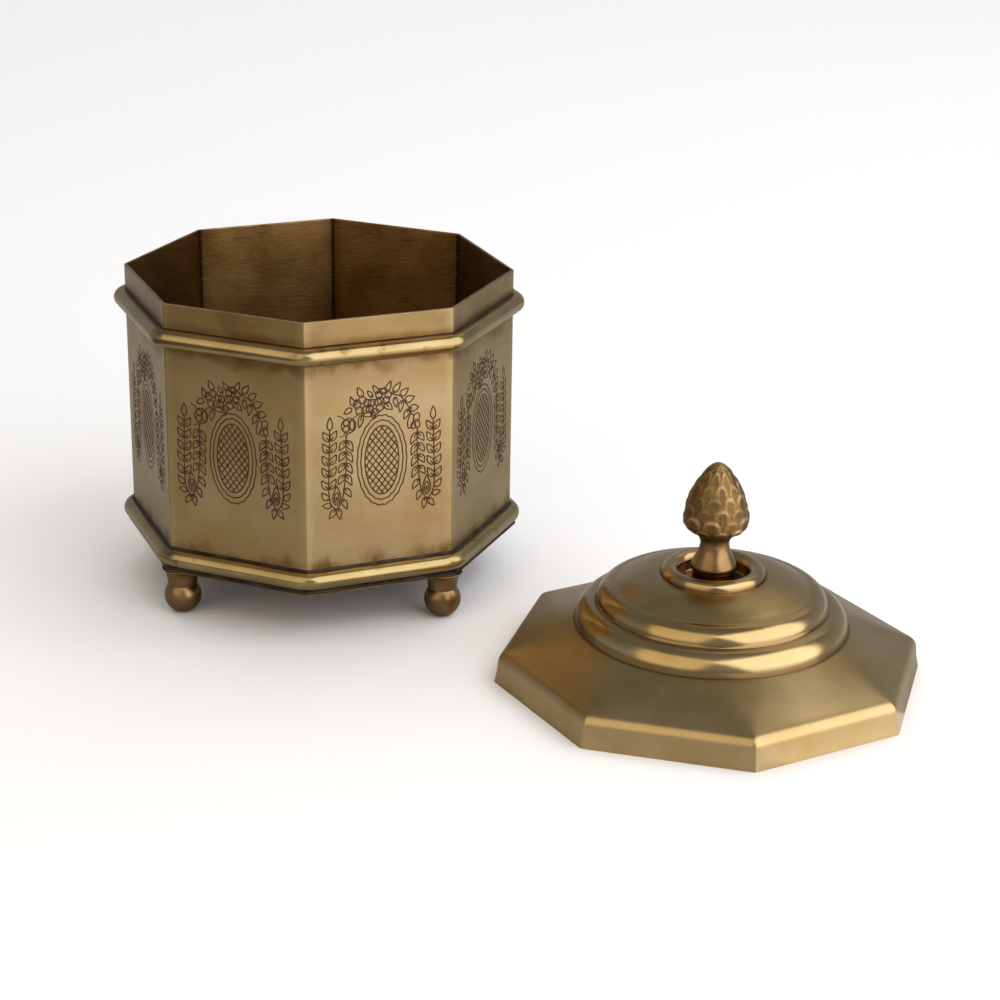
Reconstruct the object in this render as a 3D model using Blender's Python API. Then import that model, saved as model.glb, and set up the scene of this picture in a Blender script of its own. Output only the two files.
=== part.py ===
"""Octagonal brass box on four ball feet, with its lid lifted off and standing beside it.

Metres, +Z up, everything standing on Z = 0, origin under the middle of box and lid together.
The box has a corner on each of -Y, +X, +Y and -X. Its walls are eight separate plates, and a
half-round bead runs outside them near the top and another at the foot, on a thin base plate.
"""

import math

import bmesh
import bpy
from mathutils import Vector

MM = 0.001
SIDES = 8
CORNER_TURN = math.tau / SIDES
HALF_TURN = CORNER_TURN / 2
FACE = math.cos(HALF_TURN)  # distance to a flat, for a corner at distance 1

GAP = 0.3 * MM  # left wherever two pieces rest on each other

# Box walls
WALL_CORNER_R = 65.0 * MM  # box axis to an outside corner
WALL_T = 1.0 * MM
BEAD_SPACING = 75.2 * MM  # bottom bead's middle to top bead's middle
RIM_H = 8.2 * MM  # wall standing up above the top bead, which the lid slips over

# Beads: round rods with a flat back
TOP_BEAD_R = 2.9 * MM
TOP_BEAD_OUT = 1.3 * MM  # wall face to the rod's middle
BOTTOM_BEAD_R = 2.9 * MM
BOTTOM_BEAD_OUT = 0.5 * MM
BOTTOM_BEAD_LIFT = 3.8 * MM  # base plate's top to the rod's middle
SOLDER_LAND_OUT = 1.4 * MM  # foot of the bottom bead, which is soldered to the plate

# Base plate and feet
BASE_T = 0.8 * MM
BASE_OUT = 1.9 * MM  # plate's edge beyond the wall face
FOOT_H = 15.8 * MM
FOOT_COUNT = 4
BALL_R = 6.1 * MM
BALL_PAD_R = 1.1 * MM  # worn flat under the ball
COLLAR_FOOT_R = 4.85 * MM
COLLAR_STEP = 0.25 * MM  # collar's lower edge stands this far off the ball
COLLAR_TOP_R = 6.6 * MM
COLLAR_WAIST_OUT = 0.15  # share of the collar's flare that is reached
COLLAR_WAIST_UP = 0.3  # at this share of its height

# Screws that hold the feet, from inside the box
FOOT_SCREW_R = 1.2 * MM
FOOT_SCREW_HEAD_R = 2.4 * MM
FOOT_SCREW_HEAD_H = 1.3 * MM
FOOT_SCREW_DEPTH = 5.0 * MM  # into the foot
HEAD_TO_WALL = 0.48 * MM
HEAD_SHOULDER = 0.7  # share of a screw head's radius where its dome turns down

# Lid shell
LID_SHEET = 1.0 * MM
LID_CLEAR = 1.0 * MM  # wall face to the skirt's inside, at the rim
SKIRT_FLARE = 1.1 * MM  # skirt's foot beyond its top, at a corner
LID_HEADROOM = 2.2 * MM  # skirt's height beyond the rim's
SKIRT_EDGE_R = 1.3 * MM
SKIRT_EDGE_TURN = 75  # degrees
INNER_EDGE_R = 0.2 * MM
FACET_RISE = 7.65 * MM  # skirt's top to the foot of the lower step
STEP_1_R = 42.7 * MM
STEP_1_H = 6.6 * MM
STEP_2_R = 36.1 * MM
STEP_2_H = 5.5 * MM
STEP_2_W = 5.6 * MM
TREAD = 0.6 * MM
DOME_RISE = 4.15 * MM
DOME_BOW = 1.0 * MM
RING_R = 13.6 * MM  # lid axis to the middle of the raised ring
RING_TUBE_R = 2.75 * MM
WELL_DEPTH = 2.8 * MM  # ring's middle to the well's floor

# Finial: turned stem and a cast cone
STEM_BASE_R = 6.1 * MM
STEM_BASE_H = 5.1 * MM
STEM_FLARE_R = 6.95 * MM
FLARE_LIP = 0.3 * MM
NECK_R = 4.4 * MM
NECK_H = 7.4 * MM  # flare to neck
NECK_CURVE_OUT = 0.35  # share of the flare that is left
NECK_CURVE_UP = 0.45  # at this share of the neck's height
CONE_R = 10.4 * MM
CONE_H = 26.6 * MM  # neck to tip

# Screw and washer under the lid
FINIAL_SCREW_R = 1.6 * MM
FINIAL_SCREW_HEAD_R = 3.2 * MM
FINIAL_SCREW_HEAD_H = 1.4 * MM
FINIAL_SCREW_DEPTH = 9.0 * MM
WASHER_R = 7.0 * MM
WASHER_T = 0.8 * MM

# Where the lid stands
LID_STAND_GAP = 16.8 * MM  # between the two corner circles
LID_BEARING = math.radians(-33.8)  # from the box, measured from +X
LID_TURN = math.radians(7.3)

# Fineness of round shapes
BEND_STEPS = 4  # across one bent corner of a bead
BEAD_STEPS = 9
RING_POINTS = 40  # round the lid
TURNED_STEPS = 20
SCREW_STEPS = 12
BALL_STEPS = 8
CURVE_STEPS = 2  # between one point of a turned outline and the next
NECK_STEPS = 3
EDGE_STEPS = 3
STEP_STEPS = 4  # over one rounded step of the lid
RING_STEPS = 6
DOME_SHARES = (0.25, 0.5, 0.75)

# Worked out from the sizes above
BASE_TOP = FOOT_H + BASE_T
BOTTOM_BEAD_Z = BASE_TOP + BOTTOM_BEAD_LIFT
TOP_BEAD_Z = BOTTOM_BEAD_Z + BEAD_SPACING
RIM_Z = TOP_BEAD_Z + TOP_BEAD_R + RIM_H
FOOT_RING_R = WALL_CORNER_R - (WALL_T + FOOT_SCREW_HEAD_R + HEAD_TO_WALL) / FACE
SKIRT_H = RIM_H + LID_HEADROOM
SKIRT_TOP_R = WALL_CORNER_R + (LID_CLEAR + LID_SHEET) / FACE
SKIRT_FOOT_R = SKIRT_TOP_R + SKIRT_FLARE
STEP_1_Z = SKIRT_H + FACET_RISE
STEP_2_Z = STEP_1_Z + STEP_1_H
DOME_EDGE_R = STEP_2_R - STEP_2_W
DOME_EDGE_Z = STEP_2_Z + STEP_2_H
RING_Z = DOME_EDGE_Z + DOME_RISE
WELL_R = RING_R - RING_TUBE_R
WELL_Z = RING_Z - WELL_DEPTH
BOX_REACH = WALL_CORNER_R + TOP_BEAD_OUT + TOP_BEAD_R


def clear_scene():
    for old in list(bpy.data.objects):
        bpy.data.objects.remove(old, do_unlink=True)


def metal(name, colour, roughness):
    material = bpy.data.materials.new(name)
    material.use_nodes = True
    shader = material.node_tree.nodes["Principled BSDF"]
    shader.inputs["Base Color"].default_value = (*colour, 1)
    shader.inputs["Metallic"].default_value = 1
    shader.inputs["Roughness"].default_value = roughness
    return material


def frame_empty(name, x, y, turn):
    empty = bpy.data.objects.new(name, None)
    empty.location = (x, y, 0)
    empty.rotation_euler.z = turn
    bpy.context.collection.objects.link(empty)
    return empty


def add_piece(name, bm, material, parent, x=0.0, y=0.0):
    bmesh.ops.recalc_face_normals(bm, faces=bm.faces)
    mesh = bpy.data.meshes.new(name)
    bm.to_mesh(mesh)
    bm.free()
    mesh.shade_smooth()
    mesh.set_sharp_from_angle(angle=math.radians(35))
    if material:
        mesh.materials.append(material)
    piece = bpy.data.objects.new(name, mesh)
    piece.parent = parent
    piece.location = (x, y, 0)
    bpy.context.collection.objects.link(piece)
    return piece


def along(angle, distance=1.0):
    return Vector((math.cos(angle), math.sin(angle), 0)) * distance


def arc(middle_r, middle_z, radius, start, end, steps):
    """Profile points round part of a circle. Angles in degrees, 0 outwards and 90 up."""
    angles = (math.radians(start + (end - start) * i / steps) for i in range(steps + 1))
    return [(middle_r + radius * math.cos(a), middle_z + radius * math.sin(a)) for a in angles]


def quarter_step(foot_r, foot_z, width, height, steps):
    """Profile points of a rounded step, from its foot up and inwards to its flat top."""
    angles = [math.pi / 2 * i / steps for i in range(steps + 1)]
    return [
        (foot_r - width * (1 - math.cos(a)), foot_z + height * math.sin(a)) for a in angles
    ]


def smooth(points, steps):
    """A smooth curve through the points, with the given steps between one and the next."""
    ends = [points[0], *points, points[-1]]
    curve = []
    for a, b, c, d in zip(ends, ends[1:], ends[2:], ends[3:]):
        for i in range(steps):
            t = i / steps
            curve.append(
                tuple(
                    0.5
                    * (
                        2 * q
                        + (r - p) * t
                        + (2 * p - 5 * q + 4 * r - s) * t**2
                        + (3 * q - p - 3 * r + s) * t**3
                    )
                    for p, q, r, s in zip(a, b, c, d)
                )
            )
    return [*curve, points[-1]]


def turned(profile, steps):
    """A solid turned about Z from an outline that starts and ends on the axis."""
    bm = bmesh.new()
    line = [bm.verts.new((r, 0, z)) for r, z in profile]
    edges = [bm.edges.new(pair) for pair in zip(line, line[1:])]
    bmesh.ops.spin(
        bm,
        geom=[*line, *edges],
        cent=(0, 0, 0),
        axis=(0, 0, 1),
        angle=math.tau,
        steps=steps,
        use_merge=True,
    )
    bmesh.ops.remove_doubles(bm, verts=bm.verts, dist=0.001 * MM)
    return bm


def skin(loops):
    """A closed surface through closed loops of points, whose last loop joins the first."""
    bm = bmesh.new()
    rows = [[bm.verts.new(point) for point in loop] for loop in loops]
    for row, upper in zip(rows, [*rows[1:], rows[0]]):
        count = len(row)
        for i in range(count):
            j = (i + 1) % count
            bm.faces.new((row[i], row[j], upper[j], upper[i]))
    return bm


def prism(outline, low, high):
    bm = bmesh.new()
    face = bm.faces.new([bm.verts.new((p.x, p.y, low)) for p in outline])
    sides = bmesh.ops.extrude_face_region(bm, geom=[face])["geom"]
    top = [part for part in sides if isinstance(part, bmesh.types.BMVert)]
    bmesh.ops.translate(bm, verts=top, vec=(0, 0, high - low))
    return bm


def bends():
    """Each wall corner with the directions that a bent strip faces as it rounds that corner."""
    for k in range(SIDES):
        corner = along(k * CORNER_TURN, WALL_CORNER_R)
        for i in range(BEND_STEPS + 1):
            yield corner, along(k * CORNER_TURN + HALF_TURN * (2 * i / BEND_STEPS - 1))


def wall_panel(k):
    """One wall plate, mitred against its neighbours."""
    outer = WALL_CORNER_R * FACE
    facing = along((k + 0.5) * CORNER_TURN)
    across = Vector((-facing.y, facing.x, 0))
    outline = []
    for distance, side in ((outer, -1), (outer, 1), (outer - WALL_T, 1), (outer - WALL_T, -1)):
        half = distance * math.tan(HALF_TURN) - GAP / 2 / FACE
        outline.append(facing * distance + across * half * side)
    return prism(outline, BASE_TOP + GAP, RIM_Z)


def bead(rod_r, rod_out, rod_z, land_out=None):
    """A flat-backed rod bent round the walls, with a land under it where one is asked for."""
    back = GAP - rod_out
    half_angle = math.degrees(math.acos(back / rod_r))
    if land_out is None:
        profile = arc(rod_out, rod_z, rod_r, -half_angle, half_angle, BEAD_STEPS)
    else:
        land_angle = -math.degrees(math.acos((land_out - rod_out) / rod_r))
        profile = [(GAP, BASE_TOP + GAP), (land_out, BASE_TOP + GAP)]
        profile += arc(rod_out, rod_z, rod_r, land_angle, half_angle, BEAD_STEPS)
    return skin(
        [
            [corner + facing * out + Vector((0, 0, z)) for out, z in profile]
            for corner, facing in bends()
        ]
    )


def base_plate():
    outline = [corner + facing * BASE_OUT for corner, facing in bends()]
    return prism(outline, FOOT_H, BASE_TOP)


def foot():
    ball_z = math.sqrt(BALL_R**2 - BALL_PAD_R**2)
    meet_r = COLLAR_FOOT_R - COLLAR_STEP
    meet_angle = math.degrees(math.acos(meet_r / BALL_R))
    pad_angle = -math.degrees(math.acos(BALL_PAD_R / BALL_R))
    top = FOOT_H - GAP
    meet_z = ball_z + math.sqrt(BALL_R**2 - meet_r**2)
    collar = smooth(
        [
            (COLLAR_FOOT_R, meet_z + COLLAR_STEP),
            (
                COLLAR_FOOT_R + COLLAR_WAIST_OUT * (COLLAR_TOP_R - COLLAR_FOOT_R),
                meet_z + COLLAR_WAIST_UP * (top - meet_z),
            ),
            (COLLAR_TOP_R, top),
        ],
        CURVE_STEPS,
    )
    bore_r = FOOT_SCREW_R + GAP
    bore_z = top - FOOT_SCREW_DEPTH - GAP
    profile = [(0, 0), *arc(0, ball_z, BALL_R, pad_angle, meet_angle, BALL_STEPS), *collar]
    profile += [(bore_r, top), (bore_r, bore_z), (0, bore_z)]
    return turned(profile, TURNED_STEPS)


def foot_screw():
    head_z = BASE_TOP + GAP
    tip = FOOT_H - GAP - FOOT_SCREW_DEPTH
    head_top = head_z + FOOT_SCREW_HEAD_H
    profile = [(0, tip), (FOOT_SCREW_R, tip), (FOOT_SCREW_R, head_z), (FOOT_SCREW_HEAD_R, head_z)]
    profile += smooth(
        [
            (FOOT_SCREW_HEAD_R, head_z + FOOT_SCREW_HEAD_H / 3),
            (FOOT_SCREW_HEAD_R * HEAD_SHOULDER, head_top - FOOT_SCREW_HEAD_H / 6),
            (0, head_top),
        ],
        CURVE_STEPS,
    )
    return turned(profile, SCREW_STEPS)


def octagon_loop(corner_r, z):
    points = []
    for i in range(RING_POINTS):
        angle = math.tau * i / RING_POINTS
        off_flat = angle % CORNER_TURN - HALF_TURN
        points.append(along(angle, corner_r * FACE / math.cos(off_flat)) + Vector((0, 0, z)))
    return points


def round_loop(radius, z):
    return [
        along(math.tau * i / RING_POINTS, radius) + Vector((0, 0, z)) for i in range(RING_POINTS)
    ]


def lid_side(sheet):
    """Loops from the skirt's foot to the well's floor, on the sheet's face that lies this deep."""
    skirt_drop = sheet / FACE
    top_r = SKIRT_TOP_R - skirt_drop
    edge_r = max(SKIRT_EDGE_R - sheet, INNER_EDGE_R)
    top_z = SKIRT_H - sheet
    loops = [octagon_loop(SKIRT_FOOT_R - skirt_drop, 0)]
    for out, z in arc(-edge_r, top_z - edge_r, edge_r, 0, SKIRT_EDGE_TURN, EDGE_STEPS):
        loops.append(octagon_loop(top_r + out / FACE, z))
    profile = quarter_step(
        STEP_1_R - sheet, STEP_1_Z - sheet, STEP_1_R - STEP_2_R - TREAD, STEP_1_H, STEP_STEPS
    )
    profile += quarter_step(STEP_2_R - sheet, STEP_2_Z - sheet, STEP_2_W, STEP_2_H, STEP_STEPS)
    ring_foot_r = RING_R + RING_TUBE_R
    for share in DOME_SHARES:
        bow = DOME_BOW * 4 * share * (1 - share)
        r = DOME_EDGE_R - sheet + (ring_foot_r - DOME_EDGE_R) * share
        profile.append((r, DOME_EDGE_Z - sheet + DOME_RISE * share + bow))
    profile += arc(RING_R, RING_Z, RING_TUBE_R - sheet, 0, 180, RING_STEPS)
    profile.append((WELL_R + sheet, WELL_Z - sheet))
    profile.append((FINIAL_SCREW_R + GAP, WELL_Z - sheet))
    return loops + [round_loop(r, z) for r, z in profile]


def lid_shell():
    """One pressed sheet: octagonal skirt and facets, two rounded steps, dome, ring and well."""
    return skin(lid_side(0) + lid_side(LID_SHEET)[::-1])


def finial():
    foot_z = WELL_Z + GAP
    flare_z = foot_z + STEM_BASE_H
    neck_z = flare_z + NECK_H
    bore_r = FINIAL_SCREW_R + GAP
    bore_z = foot_z + FINIAL_SCREW_DEPTH + GAP
    flare = smooth(
        [
            (STEM_FLARE_R, flare_z + FLARE_LIP),
            (
                NECK_R + NECK_CURVE_OUT * (STEM_FLARE_R - NECK_R),
                flare_z + NECK_CURVE_UP * NECK_H,
            ),
            (NECK_R, neck_z),
        ],
        NECK_STEPS,
    )
    # Cone outline, as shares of its widest radius and of its height above the neck
    cone_shares = (
        (0.60, 0.11),
        (0.92, 0.20),
        (1.00, 0.31),
        (0.94, 0.50),
        (0.78, 0.68),
        (0.51, 0.87),
        (0.22, 0.97),
    )
    cone = [(CONE_R * r, neck_z + CONE_H * z) for r, z in cone_shares]
    profile = [(0, bore_z), (bore_r, bore_z), (bore_r, foot_z), (STEM_BASE_R, foot_z)]
    profile += [(STEM_BASE_R, flare_z), (STEM_FLARE_R, flare_z)]
    profile += [*flare[:-1], *smooth([flare[-1], *cone, (0, neck_z + CONE_H)], CURVE_STEPS)]
    return turned(profile, TURNED_STEPS)


def finial_washer():
    top = WELL_Z - LID_SHEET - GAP
    hole_r = FINIAL_SCREW_R + GAP
    low = top - WASHER_T
    square = [(hole_r, low), (WASHER_R, low), (WASHER_R, top), (hole_r, top)]
    turns = [math.tau * i / TURNED_STEPS for i in range(TURNED_STEPS)]
    return skin([[along(a, r) + Vector((0, 0, z)) for r, z in square] for a in turns])


def finial_screw():
    head_top = WELL_Z - LID_SHEET - GAP - WASHER_T - GAP
    head_low = head_top - FINIAL_SCREW_HEAD_H
    tip = WELL_Z + GAP + FINIAL_SCREW_DEPTH
    profile = smooth(
        [
            (0, head_low),
            (FINIAL_SCREW_HEAD_R * HEAD_SHOULDER, head_low + FINIAL_SCREW_HEAD_H / 6),
            (FINIAL_SCREW_HEAD_R, head_top - FINIAL_SCREW_HEAD_H / 3),
        ],
        CURVE_STEPS,
    )
    profile += [(FINIAL_SCREW_HEAD_R, head_top), (FINIAL_SCREW_R, head_top)]
    profile += [(FINIAL_SCREW_R, tip), (0, tip)]
    return turned(profile, SCREW_STEPS)


def foot_places():
    for k in range(FOOT_COUNT):
        yield k + 1, along(CORNER_TURN * (1 + k * SIDES // FOOT_COUNT), FOOT_RING_R)


def drill_base_plate(plate, parent):
    """A clearance hole through the plate for each foot's screw."""
    for number, place in foot_places():
        bm = bmesh.new()
        bmesh.ops.create_cone(
            bm,
            cap_ends=True,
            segments=SCREW_STEPS,
            radius1=FOOT_SCREW_R + GAP,
            radius2=FOOT_SCREW_R + GAP,
            depth=BASE_T * 3,
        )
        bmesh.ops.translate(bm, verts=bm.verts, vec=(0, 0, FOOT_H + BASE_T / 2))
        drill = add_piece(f"drill_{number}", bm, None, parent, place.x, place.y)
        drill.hide_render = True
        drill.display_type = "WIRE"
        hole = plate.modifiers.new(f"hole_{number}", "BOOLEAN")
        hole.operation = "DIFFERENCE"
        hole.object = drill


def stand_places():
    """Where the box's axis and the lid's axis stand, about the middle of both together."""
    apart = along(LID_BEARING, BOX_REACH + SKIRT_FOOT_R + LID_STAND_GAP)
    turns = [LID_TURN + k * CORNER_TURN for k in range(SIDES)]
    lid_reach = SKIRT_FOOT_R * max(abs(math.cos(turn)) for turn in turns)
    low = Vector((-BOX_REACH, apart.y - lid_reach, 0))
    high = Vector((apart.x + lid_reach, BOX_REACH, 0))
    middle = (low + high) / 2
    return -middle, apart - middle


def build():
    clear_scene()
    brass = metal("antiqued_brass", (0.33, 0.21, 0.075), 0.38)
    bright_brass = metal("polished_brass", (0.52, 0.36, 0.14), 0.22)
    bronze = metal("cast_bronze", (0.37, 0.20, 0.10), 0.3)
    screw_brass = metal("screw_brass", (0.42, 0.30, 0.13), 0.35)

    box_at, lid_at = stand_places()
    box = frame_empty("box_frame", box_at.x, box_at.y, 0)
    lid = frame_empty("lid_frame", lid_at.x, lid_at.y, LID_TURN)

    for k in range(SIDES):
        add_piece(f"wall_panel_{k + 1}", wall_panel(k), brass, box)
    add_piece("top_bead", bead(TOP_BEAD_R, TOP_BEAD_OUT, TOP_BEAD_Z), bright_brass, box)
    bottom = bead(BOTTOM_BEAD_R, BOTTOM_BEAD_OUT, BOTTOM_BEAD_Z, SOLDER_LAND_OUT)
    add_piece("bottom_bead", bottom, bright_brass, box)
    plate = add_piece("base_plate", base_plate(), brass, box)
    drill_base_plate(plate, box)
    for number, place in foot_places():
        add_piece(f"ball_foot_{number}", foot(), bronze, box, place.x, place.y)
        add_piece(f"foot_screw_{number}", foot_screw(), screw_brass, box, place.x, place.y)

    add_piece("lid_shell", lid_shell(), brass, lid)
    add_piece("pine_cone_finial", finial(), bronze, lid)
    add_piece("finial_washer", finial_washer(), screw_brass, lid)
    add_piece("finial_screw", finial_screw(), screw_brass, lid)


build()
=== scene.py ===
"""Octagonal brass box on ball feet, with its lid standing beside it: the finished surfaces.

Metres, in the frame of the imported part. Each piece is modelled where it stands, so its object
stays at the origin. Lengths named here are in millimetres times MM.
"""

from math import acos, atan2, copysign, cos, degrees, exp, hypot, pi, radians, sin, sqrt, tan, tau

import bmesh
import bpy
import numpy as np
from bmesh.types import BMEdge, BMVert
from mathutils import Matrix, Vector, noise
from mathutils.geometry import delaunay_2d_cdt


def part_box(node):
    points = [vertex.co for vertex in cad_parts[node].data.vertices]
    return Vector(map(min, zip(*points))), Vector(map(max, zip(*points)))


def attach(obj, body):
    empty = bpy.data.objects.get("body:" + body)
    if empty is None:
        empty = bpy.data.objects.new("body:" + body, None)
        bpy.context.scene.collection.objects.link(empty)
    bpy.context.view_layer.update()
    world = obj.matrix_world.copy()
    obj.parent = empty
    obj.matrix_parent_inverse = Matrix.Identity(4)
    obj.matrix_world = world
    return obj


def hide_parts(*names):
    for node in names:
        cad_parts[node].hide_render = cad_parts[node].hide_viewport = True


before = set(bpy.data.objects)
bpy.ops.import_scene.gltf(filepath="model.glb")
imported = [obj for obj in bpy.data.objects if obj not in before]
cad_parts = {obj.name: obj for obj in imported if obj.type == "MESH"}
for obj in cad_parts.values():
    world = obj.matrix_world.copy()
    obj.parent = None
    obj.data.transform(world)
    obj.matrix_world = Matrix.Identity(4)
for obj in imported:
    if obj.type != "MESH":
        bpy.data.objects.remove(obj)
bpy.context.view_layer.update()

MM = 0.001
SIDES = 8
CORNER_TURN = tau / SIDES
HALF_TURN = CORNER_TURN / 2
FACE = cos(HALF_TURN)  # distance to a flat, for a corner at distance 1


def middle(node):
    low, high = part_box(node)
    return (low + high) / 2


# Places, from the frame
BOX_AXIS = middle("base_plate").to_2d().to_3d()
LID_AXIS = middle("finial_screw").to_2d().to_3d()
LID_TURN = radians(7.3)
PLATE_LOW, PLATE_TOP = (corner.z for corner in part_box("base_plate"))
PLATE_OUT = 1.9 * MM
WALL_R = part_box("base_plate")[1].x - BOX_AXIS.x - PLATE_OUT  # axis to an outside corner
WALL_T = 1.0 * MM
RIM_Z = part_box("wall_panel_1")[1].z
BEAD_R = 2.9 * MM
TOP_BEAD_OUT = 1.3 * MM
TOP_BEAD_Z = middle("top_bead").z
BOTTOM_BEAD_OUT = 1.0 * MM
BOTTOM_BEAD_Z = PLATE_TOP + 3.8 * MM
SOLDER_LAND_OUT = 1.7 * MM
TOP_BEAD_EASE = 6.0 * MM
BOTTOM_BEAD_EASE = 8.0 * MM

# Lid, radii from its own axis
SHEET = 1.0 * MM
SKIRT_TOP_R = WALL_R + 2.0 * MM / FACE
SKIRT_FLARE = 1.1 * MM
SKIRT_H = 10.4 * MM
SKIRT_EDGE_R = 3.9 * MM
SKIRT_CORNER_R = 2.4 * MM
INNER_CREASE_R = 22 * MM  # how much softer the creases are where they reach the first step
FACET_TOP_Z = SKIRT_H + 7.65 * MM
STEP_1_R, STEP_1_H, STEP_1_W = 42.7 * MM, 6.6 * MM, 6.0 * MM
STEP_2_R, STEP_2_H, STEP_2_W = 36.1 * MM, 5.5 * MM, 5.6 * MM
DOME_EDGE_R = STEP_2_R - STEP_2_W
DOME_EDGE_Z = FACET_TOP_Z + STEP_1_H + STEP_2_H
RING_R, RING_TUBE_R = 13.6 * MM, 2.75 * MM
RING_FOOT_R = RING_R + RING_TUBE_R
DOME_H = 4.15 * MM
RING_Z = DOME_EDGE_Z + DOME_H
DOME_BOW = 1.0 * MM
WELL_R = RING_R - RING_TUBE_R
WELL_Z = RING_Z - 2.8 * MM
FINIAL_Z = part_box("pine_cone_finial")[0].z
TIP_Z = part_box("pine_cone_finial")[1].z


# ---- shapes


def along(angle, distance=1.0):
    return Vector((cos(angle), sin(angle), 0)) * distance


def arc(middle_x, middle_y, radius, start, end, steps):
    """Outline points round part of a circle. Angles in degrees, 0 outwards and 90 up."""
    angles = (radians(start + (end - start) * i / steps) for i in range(steps + 1))
    return [(middle_x + radius * cos(a), middle_y + radius * sin(a)) for a in angles]


def rounded_step(foot_r, foot_z, width, height, steps):
    """Outline points of a rounded step, from its foot up and inwards to its flat top."""
    angles = [pi / 2 * i / steps for i in range(steps + 1)]
    return [(foot_r - width * (1 - cos(a)), foot_z + height * sin(a)) for a in angles]


def smooth(points, steps):
    """A smooth curve through the points, with the given steps between one and the next."""
    ends = [Vector(p) for p in (points[0], *points, points[-1])]
    curve = []
    for a, b, c, d in zip(ends, ends[1:], ends[2:], ends[3:]):
        for i in range(steps):
            t = i / steps
            bend = 2 * b + (c - a) * t + (2 * a - 5 * b + 4 * c - d) * t**2
            curve.append(tuple(0.5 * (bend + (3 * b - a - 3 * c + d) * t**3)))
    return [*curve, tuple(points[-1])]


def only(kind, elements):
    return [e for e in elements if isinstance(e, kind)]


def move(bm, vec):
    bmesh.ops.translate(bm, verts=bm.verts, vec=vec)


def draw_line(bm, points, closed=False):
    verts = [bm.verts.new(p) for p in points]
    ends = zip(verts, verts[1:] + verts[:1]) if closed else zip(verts, verts[1:])
    return verts + [bm.edges.new(pair) for pair in ends]


def turned(profile, steps, closed=False):
    """A solid turned about Z, from an outline of (radius, height) points."""
    bm = bmesh.new()
    line = draw_line(bm, [(r, 0, z) for r, z in profile], closed)
    whole = {"cent": (0, 0, 0), "axis": (0, 0, 1), "angle": tau, "use_merge": True}
    bmesh.ops.spin(bm, geom=line, steps=steps, **whole)
    bmesh.ops.remove_doubles(bm, verts=bm.verts, dist=0.0005 * MM)
    return bm


def mesh_of(name, bm):
    mesh = bpy.data.meshes.new(name)
    bm.to_mesh(mesh)
    bm.free()
    return mesh


def placed(name, data):
    thing = bpy.data.objects.new(name, data)
    bpy.context.collection.objects.link(thing)
    return thing


def join(bm, *others):
    """Adds the other meshes to the first and frees them."""
    for other in others:
        mesh = mesh_of("joined", other)
        bm.from_mesh(mesh)
        bpy.data.meshes.remove(mesh)
    return bm


def bent_round_the_walls(outline, bend_steps, ease=0.0):
    """A closed outline of (distance from the wall, height) points, led round the eight walls.

    Each bend turns about a point this much behind both walls, so a larger ease rounds it more.
    """
    bm = bmesh.new()
    bend_r = WALL_R - ease / FACE
    first = along(0, bend_r)
    start = along(-HALF_TURN)
    points = [first + start * (ease + out) + Vector((0, 0, z)) for out, z in outline]
    ends = draw_line(bm, points, closed=True)
    side = 2 * bend_r * sin(HALF_TURN)
    for k in range(SIDES):
        corner = along(k * CORNER_TURN, bend_r)
        turn = {"cent": corner, "axis": (0, 0, 1), "angle": CORNER_TURN, "steps": bend_steps}
        ends = bmesh.ops.spin(bm, geom=ends, **turn)["geom_last"]
        drawn = bmesh.ops.extrude_edge_only(bm, edges=only(BMEdge, ends))["geom"]
        ends = only((BMVert, BMEdge), drawn)
        onwards = along(k * CORNER_TURN + HALF_TURN + pi / 2, side)
        bmesh.ops.translate(bm, verts=only(BMVert, ends), vec=onwards)
    bmesh.ops.remove_doubles(bm, verts=bm.verts, dist=0.001 * MM)
    move(bm, BOX_AXIS)
    return bm


def finish_piece(name, bm, body, materials, replaced=(), sharp=40):
    """Makes the mesh an object that rides on its body and stands for its CAD nodes."""
    bmesh.ops.recalc_face_normals(bm, faces=bm.faces)
    mesh = mesh_of(name, bm)
    if sharp:
        mesh.shade_smooth()
        mesh.set_sharp_from_angle(angle=radians(sharp))
    for material in materials:
        mesh.materials.append(material)
    piece = placed(name, mesh)
    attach(piece, body)
    if replaced:
        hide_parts(*replaced)
    return piece


# ---- engraving
#
# Millimetres across and up from the middle of the garland's foot line, which lies this far above
# the base plate. A stroke is (points, width, closed).

GARLAND_FOOT_Z = PLATE_TOP + 6.8 * MM
LINE_W = 0.46
FINE_W = 0.36
CUT_DEPTH = 0.16 * MM


def leaf(base, tip, width, vein=0.55, bend=0.0, line=LINE_W):
    """A pointed leaf outline from its stalk end to its tip, with a short vein."""
    base, tip = Vector(base), Vector(tip)
    run = tip - base
    side = Vector((-run.y, run.x)).normalized()
    steps = 9
    left, right, spine = [], [], []
    for i in range(steps + 1):
        t = i / steps
        centre = base + run * t + side * bend * 4 * t * (1 - t)
        half = width / 2 * sin(pi * t**0.72)
        left.append(centre + side * half)
        right.append(centre - side * half)
        if t <= vein:
            spine.append(centre)
    strokes = [(left + right[-2:0:-1], line, True)]
    if len(spine) > 1:
        strokes.append((spine, line, False))
    return strokes


def oval(x, y, rx, ry, line=LINE_W, waves=0, wave_size=0.0, steps=40, tilt=0.0):
    points = []
    for i in range(steps):
        a = tau * i / steps
        swell = 1 + wave_size * cos(waves * a)
        across, up = rx * swell * cos(a), ry * swell * sin(a)
        turned_x = across * cos(tilt) - up * sin(tilt)
        turned_y = across * sin(tilt) + up * cos(tilt)
        points.append(Vector((x + turned_x, y + turned_y)))
    return [(points, line, True)]


def stem(*points, line=LINE_W):
    return [([Vector(p) for p in smooth(points, 6)], line, False)]


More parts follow.
